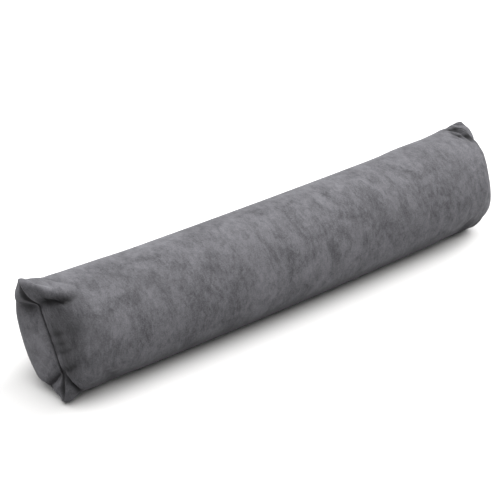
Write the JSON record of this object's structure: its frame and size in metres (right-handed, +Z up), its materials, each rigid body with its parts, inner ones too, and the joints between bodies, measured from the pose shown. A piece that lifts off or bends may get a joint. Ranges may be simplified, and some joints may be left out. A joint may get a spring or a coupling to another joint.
{
  "type": "draught excluder",
  "caption": "Long stuffed velvet bolster that lies along the foot of a door, with a folded top edge, end seams drawn in and an ear at each corner.",
  "frame": {"origin": "on the surface that the cushion lies on, below its middle", "axes": "+X along the cushion, -Y its front, +Z up"},
  "size_m": [0.903, 0.183, 0.1787],
  "materials": {
    "velvet": "matt grey velvet with a short nap"
  },
  "bodies": {
    "root": {"stuffed_cover": "velvet"}
  },
  "joints": []
}
